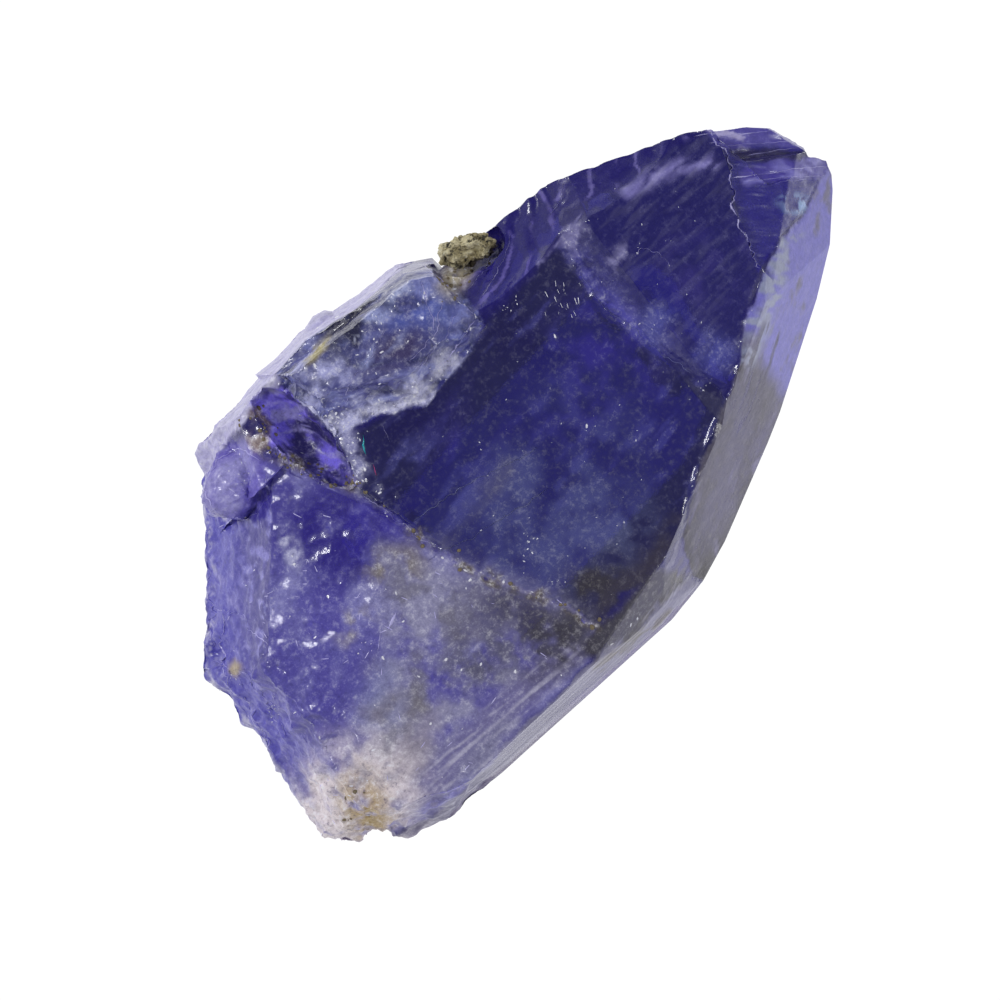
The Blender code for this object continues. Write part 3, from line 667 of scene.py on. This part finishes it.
class Substance:
    """A material's node tree."""

    def __init__(self, name):
        self.material = bpy.data.materials.new(name)
        self.material.use_nodes = True
        self.nodes = self.material.node_tree.nodes
        self.nodes.clear()

    def node(self, kind, settings=None, values=None, output=0):
        node = self.nodes.new(kind)
        for name, value in (settings or {}).items():
            setattr(node, name, value)
        for name, value in (values or {}).items():
            if isinstance(value, Socket):
                self.material.node_tree.links.new(value.socket, node.inputs[name])
            else:
                node.inputs[name].default_value = value
        return Socket(self, node.outputs[output]) if node.outputs else None

    def mix_colors(self, share, first, second):
        return self.node("ShaderNodeMix", {"data_type": "RGBA"}, {0: share, 6: first, 7: second}, output=2)


def tanzanite():
    s = Substance("tanzanite")
    place = s.node("ShaderNodeTexCoord", output=3)
    wash = s.node("ShaderNodeAttribute", {"attribute_name": "wash"})
    milky = s.node("ShaderNodeAttribute", {"attribute_name": "wash"}, output=3)
    finish = s.node("ShaderNodeAttribute", {"attribute_name": "finish"})
    frosting, streaking, speckling_and_sparkle = (
        s.node("ShaderNodeSeparateColor", None, {"Color": finish}, output=part) for part in range(3))
    grain = {"Vector": place, "Scale": GRAIN_SCALE, "Detail": 3.0, "Roughness": 0.85}
    grains = s.node("ShaderNodeTexNoise", None, grain)
    drawn = s.node("ShaderNodeVectorMath", {"operation": "MULTIPLY"}, {0: place, 1: (0.06, 1.0, 1.0)})
    drawn_out = {"Vector": drawn, "Scale": LINE_SCALE, "Detail": 1.0, "Roughness": 0.6}
    lines = s.node("ShaderNodeTexNoise", None, drawn_out)
    height = grains * (0.15 + frosting) + lines * streaking * 0.8
    bump = s.node("ShaderNodeBump", None, {"Strength": 0.6, "Distance": BUMP_DEPTH, "Height": height})
    # Pale specks in the grain are partly painted sparkle; dark specks darken the grain's low spots.
    lit = s.mix_colors(grains.between(0.48, 0.74) * speckling_and_sparkle, wash, (0.86, 0.85, 0.92, 1.0))
    dark = s.mix_colors((1.0 - grains.between(0.24, 0.48)) * speckling_and_sparkle * 0.8, lit, (0.05, 0.04, 0.16, 1.0))
    paint = s.mix_colors(lines.between(0.45, 0.7) * streaking * 0.6, dark, (0.74, 0.72, 0.90, 1.0))
    clear = s.node("ShaderNodeBsdfPrincipled", None, {
        "Base Color": (1, 1, 1, 1),
        "Transmission Weight": 1.0,
        "IOR": TANZANITE_IOR,
        "Roughness": frosting * 0.45,
        "Normal": bump,
    })
    clouded = s.node("ShaderNodeBsdfPrincipled", None, {
        "Base Color": paint,
        "Roughness": 0.22 + frosting * 0.5,
        "IOR": 1.5,
        "Normal": bump,
    })
    share = milky * (0.62 + 0.76 * grains)
    skin = s.node("ShaderNodeMixShader", None, {0: share, 1: clear, 2: clouded})
    taken_up = {"Color": (0.42, 0.36, 0.80, 1.0), "Density": ABSORPTION}
    depth = s.node("ShaderNodeVolumeAbsorption", None, taken_up)
    s.node("ShaderNodeOutputMaterial", None, {"Surface": skin, "Volume": depth})
    return s.material


crystal.data.materials.append(tanzanite())
crystal.data.shade_smooth()
crystal.data.set_sharp_from_angle(angle=math.radians(SHARP_ANGLE))
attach(crystal, "root")
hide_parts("crystal")


# The thin seams and edges.
# The jagged crack, the edges of the terraces, growth lines and arcs, two painted glints on the broken
# side, and two coloured flashes painted as glints of iridescence. Each is a thin raised seam of
# frosted crystal or of a glint's painted colour, grown in one piece with the face that it follows.
# SEAM_SINK and SEAM_ROOT are how far its sides and its keel reach into the face.
SEAM_STEP = 0.08
SEAM_SINK = 0.05
SEAM_ROOT = 0.2
ABOVE_STONE = 20.0
top_of_stone = BVHTree.FromPolygons([Vector(point) for point in points], corners.tolist())


def face_below(u, v):
    """The highest point of the stone at a place in the sketch frame, in metres."""
    start = Vector((u, v, ABOVE_STONE)) * MM - Vector(SKETCH_ZERO) * MM
    return top_of_stone.ray_cast(start, Vector((0, 0, -1)))[0]


def seam(name, line, width, height, wander, seed):
    """A tapered seam along a line in the sketch frame, with a ridge along its middle."""
    line = np.array(line, float)
    lengths = np.hypot(*np.diff(line, axis=0).T)
    reach = np.concatenate([[0], np.cumsum(lengths)])
    count = max(int(reach[-1] / SEAM_STEP), 4)
    along = np.linspace(0, reach[-1], count)
    u, v = np.interp(along, reach, line[:, 0]), np.interp(along, reach, line[:, 1])
    drift = np.array([noise.fractal(Vector((step * 2.3, seed, 0.5)), 0.6, 2.2, 3) for step in along])
    thick = np.array([0.3 + 1.6 * abs(noise.noise(Vector((step * 1.7, seed, 4.5)))) for step in along])
    towards = np.gradient(np.stack([u, v], axis=1), axis=0)
    towards /= np.linalg.norm(towards, axis=1, keepdims=True)
    aside = np.stack([-towards[:, 1], towards[:, 0]], axis=1)
    middle = np.stack([u, v], axis=1) + aside * (drift * wander)[:, None]
    steps = np.arange(count)
    taper = np.clip(np.minimum(steps, count - 1 - steps) / 2, 0.15, 1)
    half = width / 2 * thick * taper
    mesh = bmesh.new()
    rings = []
    ground = face_below(*line[len(line) // 2])
    for place, side, reach_aside in zip(middle, aside, half):
        ring = []
        for across, up in ((-1, -SEAM_SINK), (0, height), (1, -SEAM_SINK), (0, -SEAM_ROOT)):
            spot = place + side * reach_aside * across
            ground = face_below(*spot) or face_below(*place) or ground
            ring.append(mesh.verts.new(ground + Vector((0, 0, up * MM))))
        rings.append(ring)
    for ring, following in zip(rings[:-1], rings[1:]):
        for corner in range(4):
            after = (corner + 1) % 4
            mesh.faces.new((ring[corner], ring[after], following[after], following[corner]))
    mesh.faces.new(rings[0][::-1])
    mesh.faces.new(rings[-1])
    bmesh.ops.recalc_face_normals(mesh, faces=mesh.faces[:])
    data = bpy.data.meshes.new(name)
    mesh.to_mesh(data)
    mesh.free()
    piece = bpy.data.objects.new(name, data)
    bpy.context.scene.collection.objects.link(piece)
    return piece


def plain(name, color, roughness):
    """A material of one colour."""
    s = Substance(name)
    values = {"Base Color": (*color, 1.0), "Roughness": roughness, "IOR": TANZANITE_IOR}
    skin = s.node("ShaderNodeBsdfPrincipled", None, values)
    s.node("ShaderNodeOutputMaterial", None, {"Surface": skin})
    return s.material


crushed = plain("crushed_tanzanite", (0.52, 0.49, 0.84), 0.35)
faint_line = plain("faint_line", (0.20, 0.21, 0.48), 0.5)
SEAM_MATERIALS = {
    "ledge_edge": faint_line,
    "growth_line": faint_line,
    "growth_line_low": faint_line,
    # The flashes' colours are painted glints of iridescence.
    "cyan_streak": plain("cyan_flash", (0.04, 0.50, 0.58), 0.2),
    "red_streak": plain("red_flash", (0.60, 0.10, 0.30), 0.2),
}
SEAMS = {
    "jagged_crack_seam": (JAGGED_CRACK, 0.115, 0.045, 0.18),
    "high_terrace_edge": ([(12.0, 4.7), (13.6, 3.68), (15.0, 2.74)], 0.09, 0.02, 0.03),
    "high_terrace_line": ([(12.23, 4.18), (13.5, 3.3), (14.82, 2.39)], 0.07, 0.02, 0.03),
    "high_terrace_low_line": ([(12.95, 3.21), (13.9, 2.65), (14.79, 2.1)], 0.06, 0.02, 0.03),
    "low_terrace_edge": ([(12.1, 2.86), (13.6, 1.95), (15.2, 1.1)], 0.09, 0.02, 0.03),
    "low_terrace_line": ([(12.34, 2.52), (13.6, 1.70), (14.9, 0.90)], 0.07, 0.02, 0.03),
    "low_terrace_low_line": ([(13.09, 1.84), (14.2, 1.2)], 0.05, 0.02, 0.03),
    "ledge_edge": (LEDGE[1:7], 0.05, 0.02, 0.10),
    "growth_line": ([(-3.2, 1.5), (-1.0, 1.15), (1.4, 0.5)], 0.06, 0.02, 0.10),
    "growth_line_low": ([(-3.7, 0.2), (-1.1, -0.4), (0.8, -0.7)], 0.05, 0.02, 0.12),
    # Painted glints: pale seams where the broken side catches the light.
    "broken_side_glint": ([(-6.15, -0.60), (-5.85, -0.50), (-5.60, -0.38)], 0.22, 0.04, 0.03),
    "broken_side_small_glint": ([(-6.88, -0.89), (-6.42, -0.53)], 0.12, 0.03, 0.03),
    "tail_streak": ([(-1.8, 4.45), (-2.0, 3.85)], 0.06, 0.02, 0.05),
    # Painted glints of iridescence: a cyan and a red flash.
    "cyan_streak": ([(-2.50, 4.62), (-2.72, 4.35), (-2.85, 4.1)], 0.20, 0.04, 0.05),
    "red_streak": ([(-2.90, 3.7), (-3.05, 3.35)], 0.12, 0.03, 0.05),
    "ledge_vein_seam": ([(7.9, 3.1), (8.3, 3.05), (8.6, 2.7), (8.5, 2.0)], 0.05, 0.02, 0.15),
    "ridge_seam": (RIDGE[1:5], 0.05, 0.02, 0.12),
    "left_rim_seam": ([(-7.55, 7.1), (-7.75, 6.4), (-7.8, 5.8)], 0.12, 0.03, 0.1),
    "broken_side_seam": ([(-11.6, 2.6), (-10.9, 1.4), (-10.8, 0.2), (-11.3, -1.0)], 0.09, 0.03, 0.25),
    "broken_side_seam_lower": ([(-10.4, 4.0), (-9.6, 2.8), (-9.4, 1.6)], 0.07, 0.02, 0.25),
    "side_crystal_seam": ([(1.5, 5.5), (1.75, 6.1), (2.25, 7.0)], 0.07, 0.02, 0.1),
    "side_crystal_right_edge": ([(2.72, 7.6), (2.80, 6.4), (2.75, 5.0)], 0.08, 0.02, 0.06),
    "side_crystal_low_edge": ([(2.7, 4.95), (2.0, 4.75), (1.0, 4.62)], 0.07, 0.02, 0.06),
    "side_crystal_arc": ([(0.2, 5.3), (1.0, 5.35), (1.7, 5.6), (2.3, 6.1)], 0.05, 0.02, 0.1),
    "side_crystal_low_arc": ([(-0.4, 5.0), (0.6, 5.0), (1.5, 5.15), (2.4, 5.5)], 0.05, 0.02, 0.1),
    "side_crystal_high_arc": ([(-2.4, 5.7), (-1.6, 6.1), (-0.6, 6.2), (0.3, 6.7)], 0.05, 0.02, 0.15),
    "near_shell_arc": ([(3.3, 5.4), (4.1, 5.55), (4.9, 5.9), (5.5, 6.4)], 0.05, 0.02, 0.08),
    "near_shell_far_arc": ([(3.2, 5.9), (3.9, 6.0), (4.6, 6.3)], 0.04, 0.02, 0.08),
    "far_shell_arc": ([(6.8, 5.9), (7.4, 6.0), (7.8, 6.4)], 0.05, 0.02, 0.08),
    "lobe_edge": ([(-7.7, 5.7), (-7.3, 5.3), (-6.7, 5.15), (-6.1, 5.3), (-5.7, 5.8)], 0.07, 0.02, 0.1),
    "lobe_top_edge": ([(-5.5, 6.3), (-5.8, 7.0), (-6.5, 7.3), (-7.2, 7.1)], 0.07, 0.02, 0.1),
    "rim_seam": ([(-12.3, -1.4), (-11.7, -0.2), (-11.6, 1.2), (-11.1, 2.6), (-10.2, 3.6)], 0.10, 0.03, 0.3),
    "inner_rim_seam": ([(-11.3, 3.0), (-10.4, 3.9), (-9.4, 5.4), (-8.6, 6.2)], 0.08, 0.03, 0.25),
}
for order, (name, (line, width, height, wander)) in enumerate(SEAMS.items()):
    piece = seam(name, line, width, height, wander, seed=order * 3.7)
    piece.data.materials.append(SEAM_MATERIALS.get(name, crushed))
    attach(piece, "root")


# Glints and flakes.
# Small white chips on the crystal's faces are painted glints, partly real frosted chips: white
# flakes cling to the faces and gather where they glint, along the tail and the smaller crystal's
# rim, and white dashes lie in rows on the main face. Grains of dirt lie in the hollow, along the
# ridge, at the foot and by the crumb. Geometry Nodes scatter them where the stone is marked.
def scatter(name, marks, chip, density, smallest, largest, seed, material, tilt=0.6, facing=0.0, turn=3.14):
    """Copies of a small chip, scattered over the crystal where marks, per vertex, is above 0.

    Each chip is tilted by up to tilt, and turned by up to turn to each side of facing."""
    bed_mesh = crystal.data.copy()
    layer = bed_mesh.attributes.new("marks", "FLOAT", "POINT")
    layer.data.foreach_set("value", marks)
    bed = bpy.data.objects.new(name, bed_mesh)
    bpy.context.scene.collection.objects.link(bed)
    tree = bpy.data.node_groups.new(name, "GeometryNodeTree")
    tree.interface.new_socket("Geometry", in_out="INPUT", socket_type="NodeSocketGeometry")
    measures = {"Density": density / MM ** 2, "Smallest": smallest * MM, "Largest": largest * MM}
    sockets = {
        label: tree.interface.new_socket(label, in_out="INPUT", socket_type="NodeSocketFloat")
        for label in measures
    }
    tree.interface.new_socket("Geometry", in_out="OUTPUT", socket_type="NodeSocketGeometry")
    nodes, links = tree.nodes, tree.links
    came, leaves = nodes.new("NodeGroupInput"), nodes.new("NodeGroupOutput")
    marked = nodes.new("GeometryNodeInputNamedAttribute")
    marked.data_type = "FLOAT"
    marked.inputs["Name"].default_value = "marks"
    product = nodes.new("ShaderNodeMath")
    product.operation = "MULTIPLY"
    spread = nodes.new("GeometryNodeDistributePointsOnFaces")
    spread.inputs["Seed"].default_value = seed
    placed = nodes.new("GeometryNodeInstanceOnPoints")
    shape = nodes.new("GeometryNodeObjectInfo")
    shape.inputs["Object"].default_value = chip
    spin = nodes.new("FunctionNodeRandomValue")
    spin.data_type = "FLOAT_VECTOR"
    spin.inputs["Min"].default_value = (-tilt, -tilt, facing - turn)
    spin.inputs["Max"].default_value = (tilt, tilt, facing + turn)
    spin.inputs["Seed"].default_value = seed + 1
    turned = nodes.new("FunctionNodeRotateRotation")
    turned.rotation_space = "LOCAL"
    sizes = nodes.new("FunctionNodeRandomValue")
    sizes.data_type = "FLOAT"
    sizes.inputs["Seed"].default_value = seed + 2
    made = nodes.new("GeometryNodeRealizeInstances")
    coated = nodes.new("GeometryNodeSetMaterial")
    coated.inputs["Material"].default_value = material
    links.new(came.outputs["Geometry"], spread.inputs["Mesh"])
    links.new(marked.outputs["Attribute"], product.inputs[0])
    links.new(came.outputs["Density"], product.inputs[1])
    links.new(product.outputs[0], spread.inputs["Density"])
    links.new(spread.outputs["Points"], placed.inputs["Points"])
    links.new(shape.outputs["Geometry"], placed.inputs["Instance"])
    links.new(spread.outputs["Rotation"], turned.inputs["Rotation"])
    links.new(spin.outputs["Value"], turned.inputs["Rotate By"])
    links.new(turned.outputs["Rotation"], placed.inputs["Rotation"])
    links.new(came.outputs["Smallest"], sizes.inputs[2])
    links.new(came.outputs["Largest"], sizes.inputs[3])
    links.new(sizes.outputs[1], placed.inputs["Scale"])
    links.new(placed.outputs["Instances"], made.inputs["Geometry"])
    links.new(made.outputs["Geometry"], coated.inputs["Geometry"])
    links.new(coated.outputs["Geometry"], leaves.inputs["Geometry"])
    modifier = bed.modifiers.new("scatter", "NODES")
    modifier.node_group = tree
    for label, value in measures.items():
        modifier[sockets[label].identifier] = value
    graph = bpy.context.evaluated_depsgraph_get()
    scattered = bpy.data.meshes.new_from_object(bed.evaluated_get(graph))
    bed.modifiers.clear()
    bed.data = scattered
    bpy.data.meshes.remove(bed_mesh)
    bpy.data.node_groups.remove(tree)
    scattered.name = name
    return bed


def chip_shape(name, proportions):
    """A small faceted chip, one unit long, in no collection, so only its copies are seen."""
    mesh = bmesh.new()
    bmesh.ops.create_icosphere(mesh, subdivisions=1, radius=0.5, matrix=Matrix.Diagonal((*proportions, 1.0)))
    data = bpy.data.meshes.new(name)
    mesh.to_mesh(data)
    mesh.free()
    return bpy.data.objects.new(name, data)


flake = chip_shape("flake", (1.0, 0.45, 0.16))
dash = chip_shape("dash", (1.0, 0.09, 0.07))
grit = chip_shape("grit", (1.0, 0.8, 0.7))
top_side = Places(points)
# Where the skin has pale specks, white flakes add painted sparkle.
speckled_glint_marks = np.clip((speckle_and_sparkle - 0.08) * 1.6, 0, 1) * rise(top_side.z, 3.6, 5.0)
# White dashes in rows on the main face: partly frosted chips, partly painted glints.
dashes = top_side.spot((5.2, 3.6), (0.75, 0.6), 0, fade=0.3) * rise(top_side.z, 8.0, 8.5)
# Faint painted glints: tiny white flakes over the whole faces, more where the haze is pale.
whole_faces = np.maximum(main_face, 0.7 * beyond) * rise(top_side.z, 7.4, 8.0)
faint_glint_marks = whole_faces * (0.12 + 0.8 * rise(mottle + veil, 0.2, 0.9))
dirt = rise(top_side.z, 5.0, 6.0) * np.clip(
    top_side.near(HOLLOW_LIP, 0.1, 0.3)
    + 0.5 * top_side.near(RIDGE[1:], 0.05, 0.35)
    + 0.7 * top_side.inside(DIRTY_CORNER, 0.15)
    + 0.5 * top_side.spot((-11.1, -4.4), (0.8, 0.5), 20)
    + top_side.spot((3.5, 6.6), (1.1, 0.6), 25, fade=0.5),
    0, 1,
)
side_dashes = side * rise(top_side.z, 5.0, 6.0) * (0.15 + 0.85 * rise(veil + 0.5 * mottle, 0.0, 0.8))
# Painted glints along the iridescent tail.
tail = top_side.near([(-2.6, 5.9), (-3.0, 4.6), (-3.5, 3.1)], 0.15, 0.4) * rise(top_side.z, 6.0, 7.0)
# Painted highlights: white flakes gathered at the spots where the faces glint.
GLINT_SPOTS = [(-1.0, -1.76), (-1.0, -3.1), (-7.1, -0.4), (-10.9, -0.1), (-11.6, 1.5), (-10.8, 2.85)]
GLINT_SPOTS += [(-6.25, 6.77), (-6.4, 6.2), (6.9, -1.5), (3.83, 4.6), (8.2, 3.15), (0.9, 7.2), (-2.3, 4.9)]
bright = np.max([top_side.spot(place, (0.36, 0.22), 40, fade=0.9) for place in GLINT_SPOTS], axis=0)
bright *= rise(top_side.z, 5.0, 6.0)
# Painted glints along the smaller crystal's broken rim.
side_glint_marks = on_side * np.maximum(
    top_side.near(SIDE_RIM, 0.2, 0.5),
    0.4 * top_side.spot((0.5, 6.9), (1.3, 0.9), 10, fade=0.6),
)
# White chips that stand in for glints: a painted highlight, partly real frosted crystal.
frosted_glint_chip = plain("frosted_glint_chip", (0.80, 0.80, 0.90), 0.15)
dirt_grain = plain("dirt_grain", (0.16, 0.125, 0.07), 0.7)
IN_ROWS = {
    "rows_of_dashes": {"tilt": 0.1, "facing": 0.7, "turn": 0.25},
    "broken_side_dashes": {"tilt": 0.15},
}
for name, marks, chip, density, smallest, largest, seed, material in (
    ("clinging_flakes", speckled_glint_marks, flake, 1.3, 0.06, 0.24, 3, frosted_glint_chip),
    ("rows_of_dashes", dashes, dash, 13.0, 0.06, 0.34, 11, frosted_glint_chip),
    ("pinprick_flakes", faint_glint_marks, flake, 3.0, 0.03, 0.09, 23, frosted_glint_chip),
    ("tail_glints", tail, flake, 14.0, 0.05, 0.20, 43, frosted_glint_chip),
    ("bright_glints", bright, flake, 24.0, 0.03, 0.12, 53, frosted_glint_chip),
    ("side_crystal_glints", side_glint_marks, flake, 9.0, 0.04, 0.16, 47, frosted_glint_chip),
    ("broken_side_dashes", side_dashes, dash, 2.2, 0.08, 0.42, 29, crushed),
    ("dirt_grains", dirt, grit, 9.0, 0.06, 0.22, 37, dirt_grain),
):
    in_rows = IN_ROWS.get(name, {})
    piece = scatter(name, marks, chip, density, smallest, largest, seed, material, **in_rows)
    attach(piece, "root")
    "host_rock" if name == "dirt_grains" else "tanzanite"
for chip in (flake, dash, grit):
    bpy.data.meshes.remove(chip.data)


# The crumb of host rock.
# An olive-tan crumb of the schist that the crystal grew in, wedged in the notch beside the
# smaller crystal: rough, grainy, dull, with a few pale grains.
CRUMB_EDGE = 0.05 * MM
DEEPEST_DENT = 0.4
crumb = refined_copy(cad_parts["host_rock_crumb"], "host_rock", CRUMB_EDGE, CRUMB_EDGE)
crumb_points, crumb_normals, _ = mesh_arrays(crumb)
rock = Places(crumb_points)
dents = 0.26 * (1 - rock.chips(0.42, 2.0)) + 0.10 * (0.5 + rock.noise(0.16, 3, seed=8.0)) - 0.12
crumb_points -= crumb_normals * np.clip(dents, 0.0, DEEPEST_DENT)[:, None] * MM
crumb.data.vertices.foreach_set("co", crumb_points.ravel())
crumb.data.update()


def host_rock():
    s = Substance("host_rock")
    place = s.node("ShaderNodeTexCoord", output=3)
    small = {"Vector": place, "Scale": 3400.0, "Detail": 5.0, "Roughness": 0.75}
    grains = s.node("ShaderNodeTexNoise", None, small)
    large = {"Vector": place, "Scale": 1500.0, "Detail": 3.0, "Roughness": 0.6}
    patches = s.node("ShaderNodeTexNoise", None, large)
    olive = s.mix_colors(patches.between(0.38, 0.62), (0.330, 0.280, 0.150, 1), (0.640, 0.580, 0.380, 1))
    dark = s.mix_colors(grains.between(0.50, 0.38), olive, (0.035, 0.030, 0.022, 1))
    pale = s.mix_colors(grains.between(0.56, 0.66), dark, (0.60, 0.57, 0.42, 1))
    bump = s.node("ShaderNodeBump", None, {"Strength": 0.9, "Distance": 0.00008, "Height": grains})
    skin = s.node("ShaderNodeBsdfPrincipled", None, {"Base Color": pale, "Roughness": 0.8, "Normal": bump})
    s.node("ShaderNodeOutputMaterial", None, {"Surface": skin})
    return s.material


crumb.data.materials.clear()
crumb.data.materials.append(host_rock())
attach(crumb, "root")
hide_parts("host_rock_crumb")
